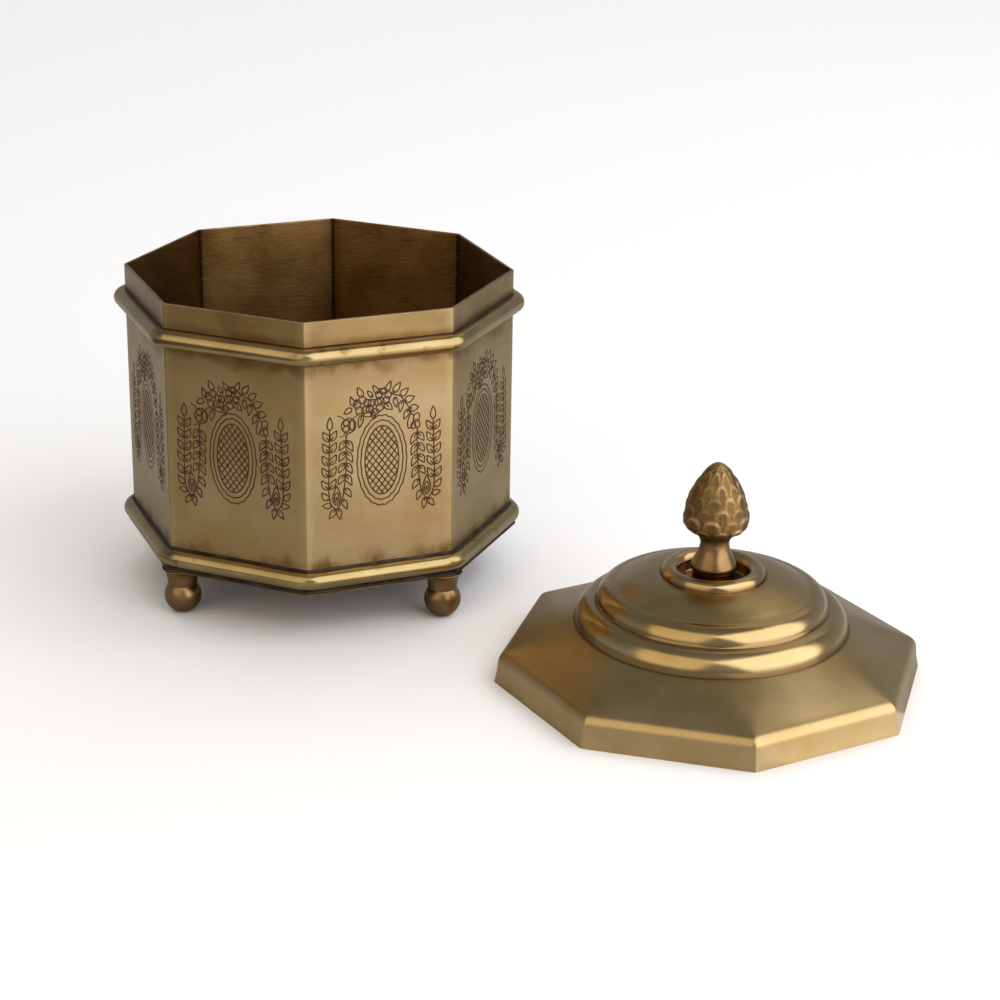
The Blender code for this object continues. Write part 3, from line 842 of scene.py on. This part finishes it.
def add(tree, kind, inputs=(), output=None, **settings):
    """Adds a node and gives one output. Inputs go by name, or in order to the sockets in use."""
    node = tree.nodes.new("ShaderNode" + kind)
    for name, value in settings.items():
        setattr(node, name, value)
    if isinstance(inputs, dict):
        pairs = [(node.inputs[name], value) for name, value in inputs.items()]
    else:
        pairs = zip([socket for socket in node.inputs if socket.enabled], inputs)
    for socket, value in pairs:
        if isinstance(value, bpy.types.NodeSocket):
            tree.links.new(value, socket)
        else:
            socket.default_value = value
    return node.outputs[output] if output else next(s for s in node.outputs if s.enabled)


def new_material(name):
    material = bpy.data.materials.new(name)
    material.use_nodes = True
    return material, material.node_tree.nodes["Principled BSDF"].inputs


def metal(name, roughness, metallic=1.0, grain=0.0):
    """A metal to build on; grain spreads its gloss up and down, as brushing across does."""
    material, look = new_material(name)
    tree = material.node_tree
    look["Metallic"].default_value = metallic
    look["Roughness"].default_value = roughness
    if grain:
        look["Anisotropic"].default_value = grain
        tree.links.new(add(tree, "CombineXYZ", {"Z": 1.0}), look["Tangent"])
    return material, tree, add(tree, "TexCoord", output="Object")


def finished(material, body, bump, rough=None):
    """Gives the metal its colour, its bumps and, where it varies, its roughness."""
    tree = material.node_tree
    for name, socket in (("Base Color", body), ("Normal", bump), ("Roughness", rough)):
        if socket:
            tree.links.new(socket, tree.nodes["Principled BSDF"].inputs[name])
    return material


def clouds(tree, place, size, detail=4.0, low=0.35, high=0.65, stretch=(1, 1, 1)):
    """Soft patches of this size in millimetres, as a share from 0 to 1."""
    moved = add(tree, "Mapping", {"Vector": place, "Scale": stretch})
    patches = add(tree, "TexNoise", [moved, every(size), detail])
    return add(tree, "MapRange", [patches, low, high])


def mottled(tree, first, second, cloud):
    """From one colour to the other with the clouds."""
    return add(tree, "Mix", [cloud, colour(first), colour(second)], data_type="RGBA")


def stained(tree, body, share, most, code):
    """The body going over to another colour with the share, at the most this far."""
    factor = add(tree, "Math", [share, most], **TIMES)
    return add(tree, "Mix", [factor, body, colour(code)], data_type="RGBA")


def streaked(tree, body, lines, low, high, most, code):
    """The body going over to another colour where the lines' noise passes from low to high."""
    factor = add(tree, "MapRange", [lines, low, high, 0.0, most], **SOFTLY)
    return add(tree, "Mix", [factor, body, colour(code)], data_type="RGBA")


def reach_from(tree, place, axis):
    """Distance from an upright axis."""
    flat = add(tree, "VectorMath", [place, (1, 1, 0)], operation="MULTIPLY")
    apart = add(tree, "VectorMath", [flat, tuple(axis)], operation="SUBTRACT")
    return add(tree, "VectorMath", [apart], operation="LENGTH")


def brushing(tree, place, line, length, depth, strength):
    """Fine horizontal scratches: line width, length and depth in millimetres; noise and bumps."""
    stretch = (every(length), every(length), every(line))
    moved = add(tree, "Mapping", {"Vector": place, "Scale": stretch})
    lines = add(tree, "TexNoise", [moved, 1.0, 3.0])
    bump = add(tree, "Bump", {"Height": lines, "Strength": strength, "Distance": depth * MM})
    return lines, bump


# Antiqued brass sheet, brushed across and lacquered: satin, cloudy, browned where it was soldered
def wall_outside():
    material, tree, place = metal("antiqued_brass_sheet", 0.4, grain=0.7)
    low_edge, high_edge = BOTTOM_BEAD_Z + BEAD_R, TOP_BEAD_Z - BEAD_R
    rim_edge = TOP_BEAD_Z + BEAD_R
    body = mottled(tree, "#B79D6C", "#C4AD82", clouds(tree, place, 22, 5, 0.38, 0.62))
    streak = clouds(tree, place, 16, 4, 0.42, 0.7, (0.5, 0.5, 1.4))
    body = stained(tree, body, streak, 0.35, "#B0894F")

    # Brown stains from soldering, ragged along both beads and fading up the rim
    z = add(tree, "SeparateXYZ", [place], output="Z")
    ragged = clouds(tree, place, 9, 4, 0.4, 0.66, (1, 1, 0.6))
    low_line = add(tree, "Math", [ragged, -4.5 * MM, z], operation="MULTIPLY_ADD")
    low_range = [low_line, low_edge - 2.5 * MM, low_edge + 3.2 * MM, 1.0, 0.0]
    low_stain = add(tree, "MapRange", low_range, **SOFTLY)
    high_line = add(tree, "Math", [ragged, 4 * MM, z], operation="MULTIPLY_ADD")
    high_range = [high_line, high_edge - 3.0 * MM, high_edge + 1.5 * MM]
    high_stain = add(tree, "MapRange", high_range, **SOFTLY)
    under = add(tree, "MapRange", [z, TOP_BEAD_Z, TOP_BEAD_Z + 0.1 * MM, 1.0, 0.0], **SOFTLY)
    high_stain = add(tree, "Math", [high_stain, under], **TIMES)
    rim_foot = add(tree, "MapRange", [z, rim_edge, rim_edge + 3.4 * MM, 1.0, 0.0], **SOFTLY)
    rim_foot = add(tree, "Math", [rim_foot, add(tree, "Math", [1.0, under], **MINUS)], **TIMES)
    stain = add(tree, "Math", [low_stain, high_stain], **PLUS)
    stain = add(tree, "Math", [stain, rim_foot], **PLUS)
    uneven = add(tree, "Math", [clouds(tree, place, 12, 3, 0.3, 0.7), 0.35], **PLUS)
    stain = add(tree, "Math", [stain, uneven], **TIMES)
    body = stained(tree, body, stain, 0.9, "#714D2A")

    # Painted shade: the sheet darker towards the top bead, and a little towards the bottom bead, for
    # the dimmer reflection there
    painted_top_shade = add(tree, "MapRange", [z, high_edge - 14 * MM, high_edge, 0.0, 0.4], **SOFTLY)
    painted_bottom_shade = add(tree, "MapRange", [z, low_edge, low_edge + 16 * MM, 0.12, 0.0], **SOFTLY)
    painted_panel_shade = add(tree, "Math", [painted_top_shade, painted_bottom_shade], operation="MAXIMUM")
    body = stained(tree, body, painted_panel_shade, 1.0, "#8A6A3C")
    on_rim = add(tree, "MapRange", [z, TOP_BEAD_Z, rim_edge], **SOFTLY)
    smudge = add(tree, "Math", [clouds(tree, place, 11, 3, 0.46, 0.62), on_rim], **TIMES)
    body = stained(tree, body, smudge, 0.35, "#6B4A22")

    # Painted highlight along the corners, between the stains
    reach = reach_from(tree, place, BOX_AXIS)
    highlight_from = WALL_R * (FACE + 0.72 * FLAT_TO_CORNER)
    corner_highlight = add(tree, "MapRange", [reach, highlight_from, WALL_R], **SOFTLY)
    corner_highlight = add(tree, "Math", [corner_highlight, add(tree, "Math", [1.0, stain], **MINUS)], **TIMES)
    body = stained(tree, body, corner_highlight, 0.3, "#DAC28E")
    lines, bump = brushing(tree, place, 0.25, 22, 0.006, 0.3)
    body = streaked(tree, body, lines, 0.55, 0.75, 0.08, "#7F6236")
    rough = add(tree, "MapRange", [lines, 0.3, 0.7, 0.37, 0.44], **SOFTLY)
    return finished(material, body, bump, rough)


# Etched line filled with dark patina: dull, brown with a red cast
def darkened_line():
    material, tree, place = metal("patina_in_etched_lines", 0.55, 0.55)
    body = mottled(tree, "#4A2F22", "#6E4B36", clouds(tree, place, 3, 3))
    grit = add(tree, "TexNoise", [place, every(0.15), 2.0])
    bump = add(tree, "Bump", {"Height": grit, "Strength": 0.4, "Distance": 0.03 * MM})
    return finished(material, body, bump)


# Inside of the sheet: never polished, sanded across, oxidised brown, darker towards each corner,
# with a dark solder seam in each corner
def wall_inside():
    material, tree, place = metal("oxidised_brass_inside", 0.42, grain=0.6)
    body = mottled(tree, "#8F6A3A", "#B0884F", clouds(tree, place, 16, 5, 0.36, 0.64))
    rust = clouds(tree, place, 7, 3, 0.55, 0.72, (1, 1, 0.8))
    body = stained(tree, body, rust, 0.25, "#8A4526")
    # Darker towards each corner
    reach = reach_from(tree, place, BOX_AXIS)
    corner_from = WALL_R * (FACE + 0.62 * FLAT_TO_CORNER) - WALL_T
    corner = add(tree, "MapRange", [reach, corner_from, WALL_R - WALL_T], **SOFTLY)
    body = stained(tree, body, corner, 0.45, "#4A2E1A")
    seam = add(tree, "MapRange", [reach, WALL_R - 1.45 * MM, WALL_R - 1.2 * MM], **SOFTLY)
    body = stained(tree, body, seam, 0.8, "#1E130B")
    lines, bump = brushing(tree, place, 0.32, 7, 0.03, 1.0)
    body = streaked(tree, body, lines, 0.5, 0.7, 0.7, "#3B2611")
    body = streaked(tree, body, lines, 0.42, 0.27, 0.8, "#D9B478")
    rough = add(tree, "MapRange", [lines, 0.3, 0.7, 0.3, 0.46], **SOFTLY)
    return finished(material, body, bump, rough)


# Drawn brass rod, buffed bright: shiny, with brown spots left from soldering and small nicks
def buffed_rod():
    material, tree, place = metal("buffed_brass_rod", 0.25)
    cloud = clouds(tree, place, 14, 5)
    body = mottled(tree, "#A89060", "#BBA472", cloud)
    body = stained(tree, body, clouds(tree, place, 5, 4, 0.62, 0.74), 0.6, "#7C5030")
    nick = add(tree, "TexVoronoi", [place, every(9)])
    pits = add(tree, "MapRange", [nick, 0.02, 0.06], **SOFTLY)
    bump = add(tree, "Bump", {"Height": pits, "Strength": 0.6, "Distance": 0.08 * MM})
    waves = add(tree, "TexNoise", [place, every(6), 2.0])
    shallow = {"Height": waves, "Strength": 0.25, "Distance": 0.1 * MM, "Normal": bump}
    rough = add(tree, "MapRange", [cloud, 0.0, 1.0, 0.21, 0.26], **SOFTLY)
    return finished(material, body, add(tree, "Bump", shallow), rough)


# Soft solder gone dark: grey, lumpy and dull
def dark_solder():
    material, tree, place = metal("darkened_soft_solder", 0.5, 0.8)
    body = mottled(tree, "#271F19", "#463D34", clouds(tree, place, 6, 4))
    lumps = add(tree, "TexNoise", [place, every(1.6), 3.0])
    bump = add(tree, "Bump", {"Height": lumps, "Strength": 0.7, "Distance": 0.2 * MM})
    return finished(material, body, bump)


def bare_bronze(name):
    material, tree, place = metal(name, 0.24)
    return material, tree, place, mottled(tree, "#8E6E47", "#A08058", clouds(tree, place, 5, 4))


# Cast bronze, turned and buffed, on the feet: rosier than the sheet, with lathe rings and pits
def cast_bronze():
    material, tree, place, body = bare_bronze("buffed_cast_bronze")
    lathe, rings = brushing(tree, place, 0.3, 4, 0.01, 0.3)
    pits = add(tree, "TexNoise", [place, every(0.5), 3.0])
    pitted = {"Height": pits, "Strength": 0.25, "Distance": 0.05 * MM, "Normal": rings}
    rough = add(tree, "MapRange", [lathe, 0.3, 0.7, 0.29, 0.35], **SOFTLY)
    return finished(material, body, add(tree, "Bump", pitted), rough)


# The same bronze on the finial: buffed stem, sandy cone, yellow-green tarnish between its scales
def scaled_bronze():
    material, tree, place, bronze = bare_bronze("cast_bronze_scales")
    relief = add(tree, "Attribute", output="Fac", attribute_name="relief")
    z = add(tree, "SeparateXYZ", [place], output="Z")
    cone_from, cone_to = FINIAL_Z + 14.8 * MM, FINIAL_Z + 16.4 * MM
    on_cone = add(tree, "MapRange", [z, cone_from, cone_to], **SOFTLY)
    body = add(tree, "Mix", [0.85, bronze, colour("#A08350")], data_type="RGBA")
    # Painted highlights: the raised tips of the scales painted lighter
    body = streaked(tree, body, relief, 0.6, 0.95, 1.0, "#CBA67C")
    share = add(tree, "Math", [on_cone, 0.75], **TIMES)
    body = add(tree, "Mix", [share, bronze, body], data_type="RGBA")
    tarnish = mottled(tree, "#6C5C36", "#6B4A2C", clouds(tree, place, 3, 4, 0.4, 0.6))
    hollow = add(tree, "MapRange", [relief, 0.2, 0.6, 0.75, 0.0], **SOFTLY)
    body = add(tree, "Mix", [hollow, body, tarnish], data_type="RGBA")
    # Painted shade and reflection: the base ring under the flare painted a darker red-brown
    body = streaked(tree, body, z, FINIAL_Z + 4.4 * MM, FINIAL_Z + 3.4 * MM, 1.0, "#7A4E34")
    skin = add(tree, "TexNoise", [place, every(0.9), 4.0])
    skin = add(tree, "Math", [skin, on_cone], **TIMES)
    bump = add(tree, "Bump", {"Height": skin, "Strength": 0.7, "Distance": 0.35 * MM})
    sandy_from, sandy_to = FINIAL_Z + 12 * MM, FINIAL_Z + 15 * MM
    rough = add(tree, "MapRange", [z, sandy_from, sandy_to, 0.3, 0.42], **SOFTLY)
    return finished(material, body, bump, rough)


# Lid's outside: spun and pressed sheet, facets and dome satin, steps and ring buffed bright
def lid_outside():
    material, tree, place = metal("satin_and_buffed_brass", 0.2, grain=0.3)
    cloud = clouds(tree, place, 20, 5, 0.38, 0.62)
    body = mottled(tree, "#BFA06A", "#CAAE7C", cloud)
    reach = reach_from(tree, place, LID_AXIS)

    # Painted shade in the creases, partly polish left brown there
    creases = 0.0
    for r, spread in ((STEP_1_R + 0.1 * MM, 0.8 * MM), (STEP_2_R + 0.2 * MM, 0.8 * MM),
                      (RING_FOOT_R + 0.1 * MM, 0.7 * MM)):
        off = add(tree, "Math", [reach, r], operation="SUBTRACT")
        apart = add(tree, "Math", [off], operation="ABSOLUTE")
        near = add(tree, "MapRange", [apart, 0.1 * MM, spread, 1.0, 0.0], **SOFTLY)
        creases = add(tree, "Math", [creases, near], operation="MAXIMUM")
    body = stained(tree, body, creases, 0.6, "#5A3B1E")
    # Darker grey-brown in the well
    body = streaked(tree, body, reach, WELL_R + 1.2 * MM, WELL_R - 0.6 * MM, 1.0, "#80604C")

    # Spinning lines: the same all the way round
    turns = add(tree, "Math", [reach, every(0.4)], operation="MULTIPLY")
    lines = add(tree, "TexNoise", [turns, 1.0, 2.0], noise_dimensions="1D")
    bump = add(tree, "Bump", {"Height": lines, "Strength": 0.15, "Distance": 0.004 * MM})
    body = streaked(tree, body, lines, 0.55, 0.75, 0.05, "#7F6236")

    # The finish changes exactly at a crease
    facets = add(tree, "MapRange", [reach, STEP_1_R, STEP_1_R + 0.3 * MM], **SOFTLY)
    inside = add(tree, "MapRange", [reach, DOME_EDGE_R, DOME_EDGE_R + 0.3 * MM, 1.0, 0.0], **SOFTLY)
    outside = add(tree, "MapRange", [reach, RING_FOOT_R, RING_FOOT_R + 0.3 * MM], **SOFTLY)
    dome = add(tree, "Math", [inside, outside], **TIMES)
    satin = add(tree, "Math", [facets, dome], operation="MAXIMUM")
    rough = add(tree, "MapRange", [satin, 0.0, 1.0, 0.21, 0.31], **SOFTLY)
    patches = add(tree, "MapRange", [cloud, 0.0, 1.0, -0.01, 0.015], **SOFTLY)
    rough = add(tree, "Math", [rough, patches], operation="ADD")
    return finished(material, body, bump, rough)


# Underside of the pressed sheet: left rough and brown from annealing
def lid_underside():
    material, tree, place = metal("annealed_brass_underside", 0.45)
    body = mottled(tree, "#6A4A26", "#94713F", clouds(tree, place, 15, 5))
    lines, bump = brushing(tree, place, 0.5, 12, 0.03, 0.6)
    body = streaked(tree, body, lines, 0.5, 0.72, 0.35, "#3B2611")
    return finished(material, body, bump)


# Turned brass screws: lathe rings, a little tarnished
def screw_brass():
    material, tree, place = metal("turned_screw_brass", 0.3)
    body = mottled(tree, "#8E7142", "#B3935A", clouds(tree, place, 2.5, 4))
    _, bump = brushing(tree, place, 0.2, 3, 0.02, 0.5)
    return finished(material, body, bump)


# ---- studio

FLOOR_REACH = 8.0
CARD_GAP = 0.02 * MM
PAPER_WHITE = "#F7F6F4"
WHOLE_FLOOR = (-FLOOR_REACH, -FLOOR_REACH, FLOOR_REACH, FLOOR_REACH)

CARDS = (  # seen only in reflections, each just above the last: name, colour, left to back edge
    ("grey_card", "#ACACAC", WHOLE_FLOOR),
    ("dark_card", "#645C52", (-1.2, -1.0, -0.2, 0.08)),
    ("white_card", PAPER_WHITE, (0.085, -1.4, 1.5, -0.07)),
)

LAMPS = (  # name, degrees to the right and up, distance, width, height, radiance, colour
    ("right_window", 61, 34, 1.5, 2.1, 2.1, 1.95, "#F6F6FA"),
    ("left_window", -37, 38, 1.5, 1.5, 1.8, 0.8, "#FFEDC8"),
    ("back_window", 150, 48, 1.6, 0.9, 0.8, 0.35, "#FFF6E4"),
    ("floor_fill", 180, 55, 2.8, 5.0, 4.0, 1.15, "#FFFFFF"),
)

FOCAL_LENGTH, SENSOR_WIDTH = 86.8, 36
EYE = (-0.00178, -0.73535, 0.32306)
PITCH, ROLL = 0.3667, 0.016


def sheet_on_floor(name, code, height, edges):
    """A matt sheet lying at this height; its left, front, right and back edges are given."""
    left, front, right, back = edges
    bm = bmesh.new()
    bmesh.ops.create_grid(bm, x_segments=1, y_segments=1, size=0.5)
    bmesh.ops.scale(bm, verts=bm.verts, vec=(right - left, back - front, 1))
    centre = ((left + right) / 2, (front + back) / 2, height)
    move(bm, centre)
    mesh = mesh_of(name, bm)
    paper, look = new_material(name)
    look["Base Color"].default_value = colour(code)
    look["Roughness"].default_value = 0.95
    look["Specular IOR Level"].default_value = 0.1
    mesh.materials.append(paper)
    sheet = placed(name, mesh)
    return sheet


def softbox(name, bearing, rise, distance, width, height, radiance, tint):
    """A soft light this far off, at this bearing from straight in front and this many degrees up."""
    a, e = radians(bearing), radians(rise)
    out = Vector((sin(a) * cos(e), -cos(a) * cos(e), sin(e)))
    light = bpy.data.lights.new(name, "AREA")
    light.shape = "RECTANGLE"
    light.size, light.size_y = width, height
    light.energy = radiance * pi * width * height
    light.color = colour(tint)[:3]
    lamp = placed(name, light)
    lamp.location = out * distance
    lamp.rotation_euler = (-out).to_track_quat("-Z", "Y").to_euler()


def studio():
    sheet_on_floor("pale_floor", PAPER_WHITE, 0.0, WHOLE_FLOOR)
    for number, (name, code, edges) in enumerate(CARDS, 1):
        card = sheet_on_floor(name, code, CARD_GAP * number, edges)
        card.visible_camera = card.visible_diffuse = card.visible_shadow = False
        card.visible_transmission = card.visible_volume_scatter = False
    world = bpy.data.worlds.new("studio")
    world.use_nodes = True
    tree = world.node_tree
    heading = add(tree, "TexCoord", output="Generated")
    upward = add(tree, "SeparateXYZ", [heading], output="Z")
    sky = tree.nodes["Background"]
    sky.inputs["Color"].default_value = colour("#DDE2F0")
    strength = add(tree, "MapRange", [upward, 0.15, 0.75, 0.42, 0.24], **SOFTLY)
    tree.links.new(strength, sky.inputs["Strength"])
    bpy.context.scene.world = world
    for lamp in LAMPS:
        softbox(*lamp)
    bpy.data.objects["floor_fill"].visible_glossy = False
    bpy.context.scene.view_settings.view_transform = "Standard"


def camera():
    lens = bpy.data.cameras.new("camera")
    lens.lens = FOCAL_LENGTH
    lens.sensor_width = SENSOR_WIDTH
    view = placed("camera", lens)
    down = Matrix.Rotation(pi / 2 - PITCH, 4, "X")
    view.matrix_world = Matrix.Translation(EYE) @ down @ Matrix.Rotation(ROLL, 4, "Z")
    bpy.context.scene.camera = view


camera()
studio()
sheet_brass = wall_outside()
wall_plates([sheet_brass, darkened_line(), wall_inside()])
beads(buffed_rod(), dark_solder())
bottom_plate(sheet_brass)
ball_feet(cast_bronze())
screws(screw_brass())
lid(lid_outside(), lid_underside())
finial(scaled_bronze())
